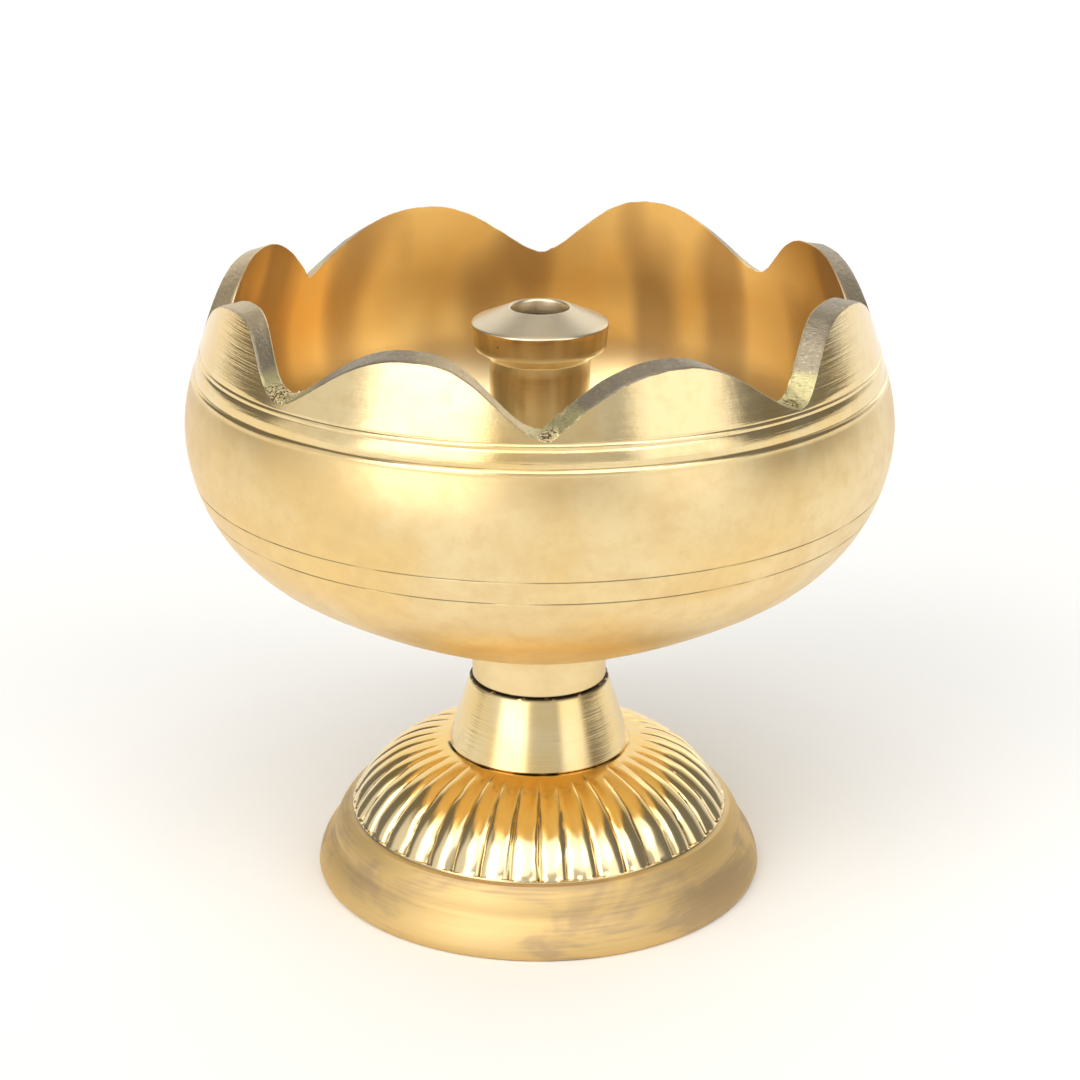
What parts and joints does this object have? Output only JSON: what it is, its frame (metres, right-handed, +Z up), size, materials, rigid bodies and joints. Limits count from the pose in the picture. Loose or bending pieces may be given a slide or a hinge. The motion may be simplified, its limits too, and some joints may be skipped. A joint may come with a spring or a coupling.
{
  "type": "pedestal oil lamp",
  "caption": "Small footed brass oil lamp: a bowl with a scalloped lotus rim, a loose wick holder at its middle, a tapered collar and a reeded hollow foot.",
  "frame": {"origin": "on the table, under the lamp's axis", "axes": "+Z up along the lamp's axis; a valley of the rim faces -Y"},
  "size_m": [0.075, 0.075, 0.069],
  "materials": {
    "bowl_brass": "satin, turned, lightly buffed",
    "spool_brass": "satin, fine turning lines",
    "collar_brass": "bright, fine turning lines",
    "foot_brass": "polished reeds over a satin band",
    "stud_brass": "as cut",
    "washer_steel": "zinc plated",
    "nut_steel": "zinc plated"
  },
  "bodies": {
    "pedestal": {"foot": "foot_brass", "collar": "collar_brass", "flat_washer": "washer_steel", "spring_washer": "washer_steel", "hex_nut": "nut_steel"},
    "stud": {"tie_stud": "stud_brass"},
    "bowl": {"bowl": "bowl_brass"},
    "wick_holder": {"wick_holder": "spool_brass"}
  },
  "joints": [
    {"name": "stud_rise", "type": "slide", "parent": "pedestal", "child": "stud", "axis": [0, 0, 1], "range_m": [0, 0.00601]},
    {"name": "bowl_unscrew", "type": "hinge", "parent": "stud", "child": "bowl", "pos_m": [0, 0, 0.0225], "axis": [0, 0, 1], "range_deg": [0, 2160]},
    {"name": "wick_holder_lift", "type": "slide", "parent": "bowl", "child": "wick_holder", "axis": [0, 0, 1], "range_m": [0, 0.04]}
  ],
  "couplings": [
    {"joint": "stud_rise", "follows": "bowl_unscrew", "m_per_rad": 0.00015915}
  ]
}
